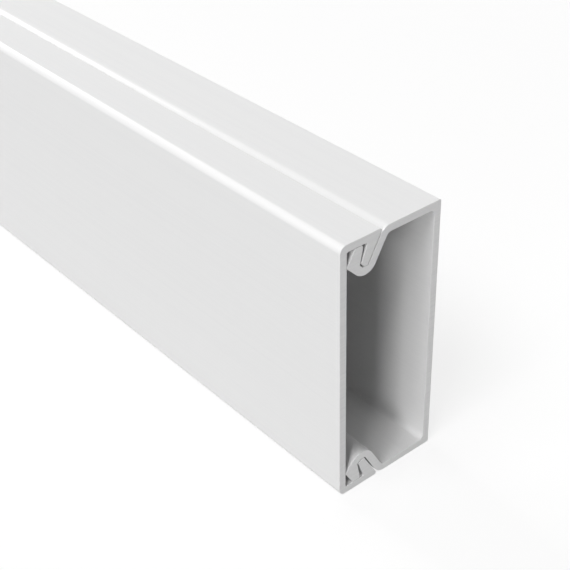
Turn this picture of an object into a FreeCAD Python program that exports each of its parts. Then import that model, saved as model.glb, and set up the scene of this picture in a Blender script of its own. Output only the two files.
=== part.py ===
# Two-part plastic cord cover raceway, standing on its edge as it runs along a wall.
# X runs along the length, the cover's face looks towards -Y, the wall side is +Y and Z is up.
# The origin is the middle of the underside. Both pieces are extruded sections of one constant
# outline, mirrored about mid-height. All sizes are in millimetres.
# The section is drawn in two local distances, which serve the upper and the lower lock alike:
# u is how far a point lies behind the cover's face, and w is how far it lies in from the
# nearer side, top or bottom.
import FreeCAD, Part
import math
import os

# Overall sizes
length = 400.0  # cut length of the stick
height = 40.0  # width of the face, upright as it stands
depth = 17.0  # from the cover's face to the wall

# Walls
cover_wall = 1.1
base_wall = 1.1

# Parting line between cover and base
seam_depth = 7.1  # where the line would meet the side, behind the face
lock_slant = 60.0  # degrees between the line and the side
fit_gap = 0.18  # between the sloping faces of leg and hook
toe_gap = 0.2  # in front of the leg's tip
seat_gap = 0.05  # where a tip rests on its seat

# Leg of the cover, which stands in the hook
lock_depth = 4.4  # from the side in to the hook's floor
leg_root_width = 1.85  # along the flange
leg_tip_width = 1.35  # just above the tip's bevel
leg_bevel = 0.55  # on the tip's front corner, each way

# Hook of the base, which wraps round the leg
hook_wall = 1.15  # sloping wall behind the leg
hook_floor = 1.2  # under the leg
barb_opening = 0.7  # between the barb's tip and the leg's root
nose_rise = 0.9  # foot of the nose, above the hook's floor
nose_flat = 0.2  # height of the nose, where it meets the cover's wall

# Corner radii
face_corner_radius = 1.05  # outer corners of the cover
lip_radius = 0.33  # edge of the cover at the seam
cover_root_radius = 0.3  # inner corners of the cover
seam_bend_radius = 1.9  # the base turning in at the seam
back_corner_radius = 0.3  # outer corners of the base
base_root_radius = 0.8  # inner corners of the base
hook_round = 2.1  # underside of the hook
barb_tip_radius = 0.35
fine_radius = 0.18  # every small corner of the locks
filleted_share = 0.98  # most of an edge that its two fillets may take


def parting(w, offset):
    """u of the slanted line at w, moved by offset towards the wall, square to the line."""
    slant = math.radians(lock_slant)
    return seam_depth + offset / math.sin(slant) - w / math.tan(slant)


# Levels and lines that cover and base share
half_gap = fit_gap / 2
leg_tip_w = lock_depth - seat_gap
bevel_w = leg_tip_w - leg_bevel
bevel_u = parting(bevel_w, -half_gap) - leg_tip_width
leg_root_u = parting(cover_wall, -half_gap) - leg_root_width
seat_u = cover_wall + seat_gap  # the barb's nose rests on the cover's front wall
seat_w = cover_wall + seat_gap  # the barb's tip rests on the cover's flange


def cover_corners():
    """Corners (u, w, radius) of the cover's upper half, from its face round the leg."""
    return [
        (0, 0, face_corner_radius),
        (parting(0, -half_gap), 0, lip_radius),
        (parting(leg_tip_w, -half_gap), leg_tip_w, fine_radius),
        (bevel_u + leg_bevel, leg_tip_w, fine_radius),
        (bevel_u, bevel_w, fine_radius),
        (leg_root_u, cover_wall, fine_radius),
        (cover_wall, cover_wall, cover_root_radius),
    ]


def base_corners():
    """Corners (u, w, radius) of the base's upper half, from the wall side round the hook."""
    slot_u = bevel_u - toe_gap
    slot_w = bevel_w + toe_gap / 2
    floor_u = slot_u + lock_depth - slot_w  # at the foot of the slot's 45 degree bevel
    chin_u = floor_u - hook_floor * math.tan(math.radians(45 / 2))
    barb_u = leg_root_u - barb_opening
    under_w = lock_depth + hook_floor
    behind = half_gap + hook_wall
    return [
        (depth, 0, back_corner_radius),
        (parting(0, half_gap), 0, seam_bend_radius),
        (parting(lock_depth, half_gap), lock_depth, fine_radius),
        (floor_u, lock_depth, fine_radius),
        (slot_u, slot_w, fine_radius),
        (barb_u, seat_w, barb_tip_radius),
        ((seat_u + barb_u) / 2, seat_w, barb_tip_radius),
        (seat_u, lock_depth - nose_rise - nose_flat, fine_radius),
        (seat_u, lock_depth - nose_rise, fine_radius),
        (chin_u, under_w, hook_round),
        (parting(under_w, behind), under_w, hook_round),
        (parting(base_wall, behind), base_wall, base_root_radius),
        (depth - base_wall, base_wall, base_root_radius),
    ]


def whole_section(upper):
    """The upper corners as points (Y, Z, radius), followed by their mirror images."""
    top = [(u - depth / 2, height - w, r) for u, w, r in upper]
    bottom = [(u - depth / 2, w, r) for u, w, r in reversed(upper)]
    return top + bottom


def between(before, corner, after):
    """Unit vectors from a corner to its neighbours, and the angle between them."""
    a = (before - corner).normalize()
    b = (after - corner).normalize()
    return a, b, a.getAngle(b)


def fitted_radii(points, radii):
    """The radii, made smaller where two fillets on one edge would run into each other."""
    count = len(points)
    reach = []
    for i in range(count):
        _, _, angle = between(points[i - 1], points[i], points[(i + 1) % count])
        reach.append(radii[i] / math.tan(angle / 2))
    room = []
    for i in range(count):
        edge = (points[(i + 1) % count] - points[i]).Length
        room.append(min(1.0, filleted_share * edge / (reach[i] + reach[(i + 1) % count])))
    return [radii[i] * min(room[i - 1], room[i]) for i in range(count)]


def corner_arc(before, corner, after, radius):
    """The arc that is tangent to both edges of a corner."""
    a, b, angle = between(before, corner, after)
    reach = radius / math.tan(angle / 2)
    rise = radius / math.sin(angle / 2) - radius
    middle = corner + (a + b).normalize() * rise
    return Part.Arc(corner + a * reach, middle, corner + b * reach)


def rounded_face(corners):
    """A plane face at X = 0 whose outline has every corner rounded by its arc."""
    points = [FreeCAD.Vector(0, y, z) for y, z, _ in corners]
    radii = fitted_radii(points, [radius for _, _, radius in corners])
    arcs = []
    for i, point in enumerate(points):
        arcs.append(corner_arc(points[i - 1], point, points[(i + 1) % len(points)], radii[i]))
    edges = []
    for i, arc in enumerate(arcs):
        edges.append(Part.LineSegment(arcs[i - 1].EndPoint, arc.StartPoint).toShape())
        edges.append(arc.toShape())
    return Part.Face(Part.Wire(edges))


def extrusion(corners):
    """The section drawn out along X over the whole length, centred on the origin."""
    face = rounded_face(whole_section(corners))
    face.translate(FreeCAD.Vector(-length / 2, 0, 0))
    return face.extrude(FreeCAD.Vector(length, 0, 0))


def main():
    os.makedirs("parts", exist_ok=True)
    pieces = {
        "front_cover": extrusion(cover_corners()),
        "base_channel": extrusion(base_corners()),
    }
    for name, solid in pieces.items():
        solid.exportStep(os.path.join("parts", name + ".step"))


main()
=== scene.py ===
import math

import bpy
from mathutils import Euler, Matrix, Vector


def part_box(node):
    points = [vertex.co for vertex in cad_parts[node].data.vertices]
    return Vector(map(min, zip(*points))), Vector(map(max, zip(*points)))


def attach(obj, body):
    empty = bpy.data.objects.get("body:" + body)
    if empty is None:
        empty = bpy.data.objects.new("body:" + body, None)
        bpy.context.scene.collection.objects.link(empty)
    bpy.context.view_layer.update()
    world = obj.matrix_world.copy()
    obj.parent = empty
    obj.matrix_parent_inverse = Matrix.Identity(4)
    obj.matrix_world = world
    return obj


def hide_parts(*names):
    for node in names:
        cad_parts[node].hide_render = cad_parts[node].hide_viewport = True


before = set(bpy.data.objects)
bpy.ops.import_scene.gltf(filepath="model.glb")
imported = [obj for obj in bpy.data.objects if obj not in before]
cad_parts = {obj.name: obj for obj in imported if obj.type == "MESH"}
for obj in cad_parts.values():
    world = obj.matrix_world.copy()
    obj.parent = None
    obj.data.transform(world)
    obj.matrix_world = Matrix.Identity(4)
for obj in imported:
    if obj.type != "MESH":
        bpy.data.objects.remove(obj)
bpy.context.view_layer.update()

mm = 0.001

# The stick, from the frame
low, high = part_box("base_channel")
face_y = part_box("front_cover")[0][1]
length = high[0] - low[0]
depth = high[1] - face_y

# Walls
cover_wall = 1.1 * mm
base_wall = 1.1 * mm

# Parting line between cover and base
seam_depth = 7.1 * mm  # where the line would meet the side, behind the face
lock_slant = math.radians(60.0)  # between the line and the side
fit_gap = 0.18 * mm  # between the sloping faces of leg and hook
toe_gap = 0.2 * mm  # in front of the leg's tip
seat_gap = 0.05 * mm  # where a tip rests on its seat

# Leg of the cover, and the hook of the base that wraps round it
lock_depth = 4.4 * mm  # from the side in to the hook's floor
leg_root_width = 1.85 * mm  # along the flange
leg_tip_width = 1.35 * mm  # just above the tip's bevel
leg_bevel = 0.55 * mm  # on the tip's front corner, each way
hook_wall = 1.15 * mm  # sloping wall behind the leg
hook_floor = 1.2 * mm  # under the leg
barb_opening = 0.7 * mm  # between the barb's tip and the leg's root
nose_rise = 0.9 * mm  # foot of the nose, above the hook's floor
nose_flat = 0.2 * mm  # height of the nose, where it meets the cover's wall

# Corner radii
face_corner_radius = 1.05 * mm  # outer corners of the cover
lip_radius = 0.33 * mm  # edge of the cover at the seam
cover_root_radius = 0.3 * mm  # inner corners of the cover
seam_bend_radius = 1.9 * mm  # the base turning in at the seam
back_corner_radius = 0.3 * mm  # outer corners of the base
base_root_radius = 0.8 * mm  # inner corners of the base
hook_round = 2.1 * mm  # underside of the hook
barb_tip_radius = 0.35 * mm
fine_radius = 0.18 * mm  # every small corner of the locks
filleted_share = 0.98  # most of an edge that its two fillets may take

# How finely the pieces are made
points_per_fillet = 10
end_break = 0.025 * mm  # rounding of every sawn edge
break_steps = 2  # faces across that rounding
sawn_steepness = 0.99  # a face that looks along X by more than this is sawn

# PVC. A mark has its waves to the metre along X, Y and Z, and its height.
pvc_ior = 1.53
noise_low, noise_high = 0.3, 0.7  # most values of a noise lie between these

# The extruded skin
wave_density, wave_height = (9.0, 70.0, 70.0), 0.030 * mm
line_density, line_height = (4.0, 2600.0, 2600.0), 0.0018 * mm
grain_density, grain_height = (6500.0, 6500.0, 6500.0), 0.0008 * mm
skin_duller, skin_whiter = (0.782, 0.782, 0.784), (0.800, 0.800, 0.798)
skin_roughness = (0.28, 0.36)

# The sawn ends
tooth_density, tooth_height = (1.0, 60.0, 3400.0), 0.012 * mm
tear_density, tear_height = (9000.0, 2500.0, 9000.0), 0.004 * mm
saw_slant = math.radians(12.0)  # by which both are turned about X
sawn_duller, sawn_whiter = (0.85, 0.85, 0.852), (0.90, 0.90, 0.898)
sawn_roughness = (0.5, 0.62)

# The studio, in metres. Floor and world look white but light the stick less than white would.
lamp_distance = 2.0
floor_reach = 3.0
floor_grey = 0.3  # the grey by which the floor lights the stick
surround = 0.1  # the strength by which the world lights it
shadow_share = 0.25  # how much of the floor's brightness a shadow may take
white = (1.0, 1.0, 1.0, 1.0)

# The camera, fitted to the photograph
camera_lens = 76.13  # in millimetres
film_width = 36.0  # in millimetres
nearest_seen = 5 * mm
camera_past_end = 87.93 * mm
camera_in_front = 88.32 * mm
camera_up = 116.27 * mm
camera_dip = math.radians(34.416)  # below level
camera_heading = math.radians(50.93)  # turned away from the Y axis
camera_roll = math.radians(-1.685)


def parting(w, offset):
    """u of the slanted line at w, moved by offset towards the wall, square to the line."""
    return seam_depth + offset / math.sin(lock_slant) - w / math.tan(lock_slant)


# Levels and lines that cover and base share
half_gap = fit_gap / 2
leg_tip_w = lock_depth - seat_gap
bevel_w = leg_tip_w - leg_bevel
bevel_u = parting(bevel_w, -half_gap) - leg_tip_width
leg_root_u = parting(cover_wall, -half_gap) - leg_root_width
seat_u = cover_wall + seat_gap  # the barb's nose rests on the cover's front wall
seat_w = cover_wall + seat_gap  # the barb's tip rests on the cover's flange


def cover_corners():
    """Corners (u, w, radius) of the cover's upper half, from its face round the leg."""
    return [
        (0, 0, face_corner_radius),
        (parting(0, -half_gap), 0, lip_radius),
        (parting(leg_tip_w, -half_gap), leg_tip_w, fine_radius),
        (bevel_u + leg_bevel, leg_tip_w, fine_radius),
        (bevel_u, bevel_w, fine_radius),
        (leg_root_u, cover_wall, fine_radius),
        (cover_wall, cover_wall, cover_root_radius),
    ]


def base_corners():
    """Corners (u, w, radius) of the base's upper half, from the wall side round the hook."""
    slot_u = bevel_u - toe_gap
    slot_w = bevel_w + toe_gap / 2
    floor_u = slot_u + lock_depth - slot_w  # at the foot of the slot's 45 degree bevel
    chin_u = floor_u - hook_floor * math.tan(math.radians(45 / 2))
    barb_u = leg_root_u - barb_opening
    under_w = lock_depth + hook_floor
    behind = half_gap + hook_wall
    return [
        (depth, 0, back_corner_radius),
        (parting(0, half_gap), 0, seam_bend_radius),
        (parting(lock_depth, half_gap), lock_depth, fine_radius),
        (floor_u, lock_depth, fine_radius),
        (slot_u, slot_w, fine_radius),
        (barb_u, seat_w, barb_tip_radius),
        ((seat_u + barb_u) / 2, seat_w, barb_tip_radius),
        (seat_u, lock_depth - nose_rise - nose_flat, fine_radius),
        (seat_u, lock_depth - nose_rise, fine_radius),
        (chin_u, under_w, hook_round),
        (parting(under_w, behind), under_w, hook_round),
        (parting(base_wall, behind), base_wall, base_root_radius),
        (depth - base_wall, base_wall, base_root_radius),
    ]


def whole_section(upper):
    """The upper corners and their mirror images, as (Y, Z) points that run clockwise, and their radii."""
    points = [Vector((face_y + u, high[2] - w)) for u, w, _ in upper]
    points += [Vector((face_y + u, low[2] + w)) for u, w, _ in reversed(upper)]
    radii = [r for _, _, r in upper]
    radii += radii[::-1]
    twice_area = sum(points[i - 1].cross(point) for i, point in enumerate(points))
    if twice_area > 0:
        points.reverse()
        radii.reverse()
    return points, radii


def fitted_radii(points, radii):
    """The radii, made smaller where two fillets on one edge would run into each other."""
    count = len(points)
    reach = []
    for i, corner in enumerate(points):
        angle = (points[i - 1] - corner).angle(points[(i + 1) % count] - corner)
        reach.append(radii[i] / math.tan(angle / 2))
    room = []
    for i in range(count):
        edge = (points[(i + 1) % count] - points[i]).length
        room.append(min(1.0, filleted_share * edge / (reach[i] + reach[(i + 1) % count])))
    return [radii[i] * min(room[i - 1], room[i]) for i in range(count)]


def add(tree, kind, values=None, **settings):
    """A new node of a tree, with its settings, and its inputs set to values or linked to outputs."""
    node = tree.nodes.new(kind)
    for key, value in settings.items():
        setattr(node, key, value)
    for key, value in (values or {}).items():
        if isinstance(value, bpy.types.NodeSocket):
            tree.links.new(value, node.inputs[key])
        else:
            node.inputs[key].default_value = value
    return node


def calc(tree, operation, a, b=0.0):
    """The output of one Math node."""
    return add(tree, "ShaderNodeMath", {0: a, 1: b}, operation=operation).outputs[0]


def extrusion_tree():
    """A tree that fillets a loop of section corners, draws it out along X and breaks the sawn edges."""
    tree = bpy.data.node_groups.new("drawn_section", "GeometryNodeTree")
    sockets = tree.interface
    sockets.new_socket("Section", in_out="INPUT", socket_type="NodeSocketGeometry")
    sockets.new_socket("Length", in_out="INPUT", socket_type="NodeSocketFloat")
    sockets.new_socket("Fillet Points", in_out="INPUT", socket_type="NodeSocketInt")
    sockets.new_socket("End Break", in_out="INPUT", socket_type="NodeSocketFloat")
    sockets.new_socket("Extruded Finish", in_out="INPUT", socket_type="NodeSocketMaterial")
    sockets.new_socket("Sawn Finish", in_out="INPUT", socket_type="NodeSocketMaterial")
    sockets.new_socket("Piece", in_out="OUTPUT", socket_type="NodeSocketGeometry")
    given = tree.nodes.new("NodeGroupInput").outputs

    # The filleted section, with its inward direction kept on every point
    loop = add(tree, "GeometryNodeMeshToCurve", {"Mesh": given["Section"]})
    radius = add(tree, "GeometryNodeInputNamedAttribute", {"Name": "corner_radius"}, data_type="FLOAT")
    fillet = add(tree, "GeometryNodeFilletCurve", mode="POLY")
    tree.links.new(loop.outputs[0], fillet.inputs["Curve"])
    tree.links.new(radius.outputs[0], fillet.inputs["Radius"])
    tree.links.new(given["Fillet Points"], fillet.inputs["Count"])
    tangent = add(tree, "GeometryNodeInputTangent")
    inward = add(tree, "ShaderNodeVectorMath", {0: tangent.outputs[0], 1: (0.0, 0.0, 1.0)},
                 operation="CROSS_PRODUCT")
    profile = add(tree, "GeometryNodeCaptureAttribute", {"Geometry": fillet.outputs[0]})
    profile.capture_items.new("VECTOR", "Inward")
    tree.links.new(inward.outputs[0], profile.inputs["Inward"])

    # Stations along X: a quarter round of End Break at either end, and the straight length between them
    stations = 2 * (break_steps + 1)
    half = calc(tree, "MULTIPLY", given["Length"], 0.5)
    start = add(tree, "ShaderNodeCombineXYZ", {"X": calc(tree, "MULTIPLY", half, -1.0)})
    end = add(tree, "ShaderNodeCombineXYZ", {"X": half})
    line = add(tree, "GeometryNodeCurvePrimitiveLine", {
        "Start": start.outputs[0], "End": end.outputs[0]})
    path = add(tree, "GeometryNodeSubdivideCurve", {"Curve": line.outputs[0], "Cuts": stations - 2})
    index = add(tree, "GeometryNodeInputIndex").outputs[0]
    from_end = calc(tree, "MINIMUM", index, calc(tree, "SUBTRACT", stations - 1, index))
    turn = calc(tree, "MULTIPLY", calc(tree, "SUBTRACT", break_steps, from_end), math.pi / 2 / break_steps)
    side = calc(tree, "SIGN", calc(tree, "SUBTRACT", index, (stations - 1) / 2))
    left_along = calc(tree, "SUBTRACT", 1.0, calc(tree, "SINE", turn))
    left_across = calc(tree, "SUBTRACT", 1.0, calc(tree, "COSINE", turn))
    run = calc(tree, "MULTIPLY", given["End Break"], left_along)
    station = calc(tree, "MULTIPLY", side, calc(tree, "SUBTRACT", half, run))
    placed = add(tree, "GeometryNodeSetPosition", {
        "Geometry": path.outputs[0],
        "Position": add(tree, "ShaderNodeCombineXYZ", {"X": station}).outputs[0]})
    inset = calc(tree, "MULTIPLY", given["End Break"], left_across)
    upright = add(tree, "GeometryNodeSetCurveTilt", {"Curve": placed.outputs[0], "Tilt": math.pi})
    rail = add(tree, "GeometryNodeCaptureAttribute", {"Geometry": upright.outputs[0]})
    rail.capture_items.new("FLOAT", "Inset")
    tree.links.new(inset, rail.inputs["Inset"])

    # Sweep, then pull the ring of each station in by its inset
    sweep = add(tree, "GeometryNodeCurveToMesh", {
        "Curve": rail.outputs["Geometry"], "Profile Curve": profile.outputs["Geometry"],
        "Fill Caps": True})
    parts = add(tree, "ShaderNodeSeparateXYZ", {0: profile.outputs["Inward"]})
    across = add(tree, "ShaderNodeCombineXYZ", {"Y": parts.outputs["X"], "Z": parts.outputs["Y"]})
    pull = add(tree, "ShaderNodeVectorMath", {0: across.outputs[0]}, operation="SCALE")
    tree.links.new(rail.outputs["Inset"], pull.inputs["Scale"])
    shaped = add(tree, "GeometryNodeSetPosition", {
        "Geometry": sweep.outputs[0], "Offset": pull.outputs[0]})

    # Faces outwards, with the sawn finish on those that look along X
    normal = add(tree, "ShaderNodeSeparateXYZ", {0: add(tree, "GeometryNodeInputNormal").outputs[0]})
    steep = calc(tree, "ABSOLUTE", normal.outputs["X"])
    sawn = calc(tree, "GREATER_THAN", steep, sawn_steepness)
    outside = add(tree, "GeometryNodeFlipFaces", {"Mesh": shaped.outputs[0]})
    whole = add(tree, "GeometryNodeRealizeInstances", {"Geometry": outside.outputs[0]})
    skin = add(tree, "GeometryNodeSetMaterial", {
        "Geometry": whole.outputs[0], "Material": given["Extruded Finish"]})
    ends = add(tree, "GeometryNodeSetMaterial", {
        "Geometry": skin.outputs[0], "Selection": sawn, "Material": given["Sawn Finish"]})
    tree.links.new(ends.outputs[0], tree.nodes.new("NodeGroupOutput").inputs[0])
    return tree


def section_loop(name, corners):
    """An object whose mesh is the closed loop of corners in its XY plane, with a radius on each."""
    points, radii = whole_section(corners)
    mesh = bpy.data.meshes.new(name)
    count = len(points)
    mesh.from_pydata([(p.x, p.y, 0.0) for p in points], [(i, (i + 1) % count) for i in range(count)], [])
    stored = mesh.attributes.new("corner_radius", "FLOAT", "POINT")
    stored.data.foreach_set("value", fitted_radii(points, radii))
    piece = bpy.data.objects.new(name, mesh)
    bpy.context.scene.collection.objects.link(piece)
    return piece


def drawn_piece(name, corners, tree, skin, sawn):
    """A finished piece: the loop run through the tree and turned into a plain mesh."""
    piece = section_loop(name, corners)
    modifier = piece.modifiers.new("section", "NODES")
    modifier.node_group = tree
    sizes = {"Length": length, "Fillet Points": points_per_fillet, "End Break": end_break,
             "Extruded Finish": skin, "Sawn Finish": sawn}
    for item in tree.interface.items_tree:
        if item.name in sizes:
            modifier[item.identifier] = sizes[item.name]
    evaluated = piece.evaluated_get(bpy.context.evaluated_depsgraph_get())
    mesh = bpy.data.meshes.new_from_object(evaluated)
    piece.modifiers.clear()
    loop = piece.data
    piece.data = mesh
    bpy.data.meshes.remove(loop)
    mesh.name = name
    flats = piece.modifiers.new("flats stay flat", "WEIGHTED_NORMAL")
    flats.keep_sharp = True
    return piece


def pvc(name):
    """A plastic material without marks, its tree and its shader."""
    material = bpy.data.materials.new(name)
    material.use_nodes = True
    tree = material.node_tree
    shader = tree.nodes["Principled BSDF"]
    shader.inputs["IOR"].default_value = pvc_ior
    return material, tree, shader


def stretched_noise(tree, density, detail, turn=0.0):
    """Noise on Object coordinates, with density waves to the metre along each axis, turned about X."""
    place = add(tree, "ShaderNodeTexCoord").outputs["Object"]
    fitted = add(tree, "ShaderNodeMapping", {
        "Vector": place, "Rotation": (turn, 0.0, 0.0), "Scale": density})
    noise = add(tree, "ShaderNodeTexNoise", {
        "Vector": fitted.outputs[0], "Scale": 1.0, "Detail": detail})
    return noise.outputs[0]


def spread(tree, noise, least, most):
    """A noise's usual values spread over a range."""
    return add(tree, "ShaderNodeMapRange", {
        "Value": noise, "From Min": noise_low, "From Max": noise_high,
        "To Min": least, "To Max": most}).outputs[0]


def tint(tree, shader, noise, duller, whiter):
    """A base colour that wanders between two near whites."""
    share = spread(tree, noise, 0.0, 1.0)
    colour = add(tree, "ShaderNodeMix", {"Factor": share, "A": (*duller, 1.0), "B": (*whiter, 1.0)},
                 data_type="RGBA")
    tree.links.new(colour.outputs["Result"], shader.inputs["Base Color"])


def raise_surface(tree, shader, heights):
    """Bumps laid one over the other, each a noise and its height in metres."""
    normal = None
    for noise, height in heights:
        bump = add(tree, "ShaderNodeBump", {"Strength": 1.0, "Distance": height, "Height": noise})
        if normal:
            tree.links.new(normal, bump.inputs["Normal"])
        normal = bump.outputs[0]
    tree.links.new(normal, shader.inputs["Normal"])


def extruded_finish():
    """White PVC as it leaves the die: fine lines along the length over a slightly uneven gloss."""
    material, tree, shader = pvc("white_pvc_extruded")
    waves = stretched_noise(tree, wave_density, detail=1.0)
    lines = stretched_noise(tree, line_density, detail=3.0)
    grain = stretched_noise(tree, grain_density, detail=2.0)
    raise_surface(tree, shader, ((waves, wave_height), (lines, line_height), (grain, grain_height)))
    tint(tree, shader, lines, skin_duller, skin_whiter)
    tree.links.new(spread(tree, lines, *skin_roughness), shader.inputs["Roughness"])
    return material


def sawn_finish():
    """The same PVC where a fine saw cut it: matt, with faint straight tooth marks and a finer tear."""
    material, tree, shader = pvc("white_pvc_sawn")
    teeth = stretched_noise(tree, tooth_density, detail=2.0, turn=saw_slant)
    tear = stretched_noise(tree, tear_density, detail=2.0, turn=saw_slant)
    raise_surface(tree, shader, ((teeth, tooth_height), (tear, tear_height)))
    tint(tree, shader, teeth, sawn_duller, sawn_whiter)
    tree.links.new(spread(tree, tear, *sawn_roughness), shader.inputs["Roughness"])
    return material


def seen_directly(tree):
    """1 for rays that show floor or world, straight, reflected or through glass, and 0 for all others."""
    path = add(tree, "ShaderNodeLightPath")
    seen = calc(tree, "MAXIMUM", path.outputs["Is Camera Ray"], path.outputs["Is Glossy Ray"])
    return calc(tree, "MAXIMUM", seen, path.outputs["Is Transmission Ray"])


def floor():
    """A wide grey floor that looks white, with a faint shadow of the stick that fades with distance."""
    corners = [(x * floor_reach, y * floor_reach, 0) for x, y in ((-1, -1), (1, -1), (1, 1), (-1, 1))]
    mesh = bpy.data.meshes.new("floor")
    mesh.from_pydata(corners, [], [(0, 1, 2, 3)])
    piece = bpy.data.objects.new("floor", mesh)
    bpy.context.scene.collection.objects.link(piece)
    material = bpy.data.materials.new("studio_floor")
    material.use_nodes = True
    tree = material.node_tree
    tree.nodes.remove(tree.nodes["Principled BSDF"])
    lit = add(tree, "ShaderNodeBsdfDiffuse", {"Color": (floor_grey, floor_grey, floor_grey, 1.0)})
    shadowed = add(tree, "ShaderNodeBsdfDiffuse", {"Color": white})
    glow = add(tree, "ShaderNodeEmission", {"Color": white, "Strength": 1.0})
    place = add(tree, "ShaderNodeTexCoord").outputs["Object"]
    away = add(tree, "ShaderNodeVectorMath", {0: place}, operation="LENGTH").outputs["Value"]
    share = add(tree, "ShaderNodeMapRange", {
        "Value": away, "From Min": length / 2, "From Max": 2 * length,
        "To Min": shadow_share, "To Max": 0.0}).outputs[0]
    shown = add(tree, "ShaderNodeMixShader", {0: share, 1: glow.outputs[0], 2: shadowed.outputs[0]})
    seen = seen_directly(tree)
    whole = add(tree, "ShaderNodeMixShader", {0: seen, 1: lit.outputs[0], 2: shown.outputs[0]})
    tree.links.new(whole.outputs[0], tree.nodes["Material Output"].inputs["Surface"])
    mesh.materials.append(material)


def lights():
    """Soft lamps in an arch across the stick, smaller ones towards its ends, and a dim surround."""
    scene = bpy.context.scene
    world = bpy.data.worlds.new("studio")
    scene.world = world
    world.use_nodes = True
    tree = world.node_tree
    back = tree.nodes["Background"]
    strength = add(tree, "ShaderNodeMapRange", {
        "Value": seen_directly(tree), "To Min": surround, "To Max": 1.0})
    back.inputs["Color"].default_value = white
    tree.links.new(strength.outputs[0], back.inputs["Strength"])
    # Each lamp's name, its direction from the origin, its width in metres and its power
    for name, towards, size, watts in (
        ("low_front_lamp", (0.25, -0.91, 0.33), 0.8, 1.6),
        ("upper_front_lamp", (0.26, -0.56, 0.79), 0.8, 17.8),
        ("high_lamp", (0.0, -0.5, 0.87), 0.8, 11.3),
        ("rear_lamp", (-0.2, 0.95, 0.15), 0.55, 20.0),
        ("near_side_lamp", (0.5, -0.85, 0.16), 0.6, 12.1),
        ("near_end_lamp", (0.97, 0.1, 0.2), 0.5, 4.1),
        ("far_end_lamp", (-0.87, 0.0, 0.49), 0.5, 14.0),
    ):
        lamp = bpy.data.lights.new(name, "AREA")
        lamp.shape = "SQUARE"
        lamp.size = size
        lamp.energy = watts
        holder = bpy.data.objects.new(name, lamp)
        direction = Vector(towards).normalized()
        holder.location = direction * lamp_distance
        holder.rotation_euler = direction.to_track_quat("Z", "Y").to_euler()
        scene.collection.objects.link(holder)


def camera():
    """The photograph's own view, from in front of the near end and above it."""
    data = bpy.data.cameras.new("camera")
    data.lens = camera_lens
    data.sensor_width = film_width
    data.clip_start = nearest_seen
    seen_from = bpy.data.objects.new("camera", data)
    seen_from.location = (high[0] + camera_past_end, -camera_in_front, camera_up)
    turn = Euler((math.pi / 2 - camera_dip, 0.0, camera_heading)).to_matrix()
    roll = Matrix.Rotation(camera_roll, 3, "Z")
    seen_from.rotation_euler = (turn @ roll).to_euler()
    bpy.context.scene.collection.objects.link(seen_from)
    bpy.context.scene.camera = seen_from


def build():
    """Everything in the scene."""
    bpy.context.scene.view_settings.view_transform = "Standard"
    tree = extrusion_tree()
    skin = extruded_finish()
    sawn = sawn_finish()
    for node, name, corners in (
        ("base_channel", "channel_with_hooks", base_corners()),
        ("front_cover", "cover_with_legs", cover_corners()),
    ):
        piece = drawn_piece(name, corners, tree, skin, sawn)
        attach(piece, "root")
        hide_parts(node)
    floor()
    lights()
    camera()


build()
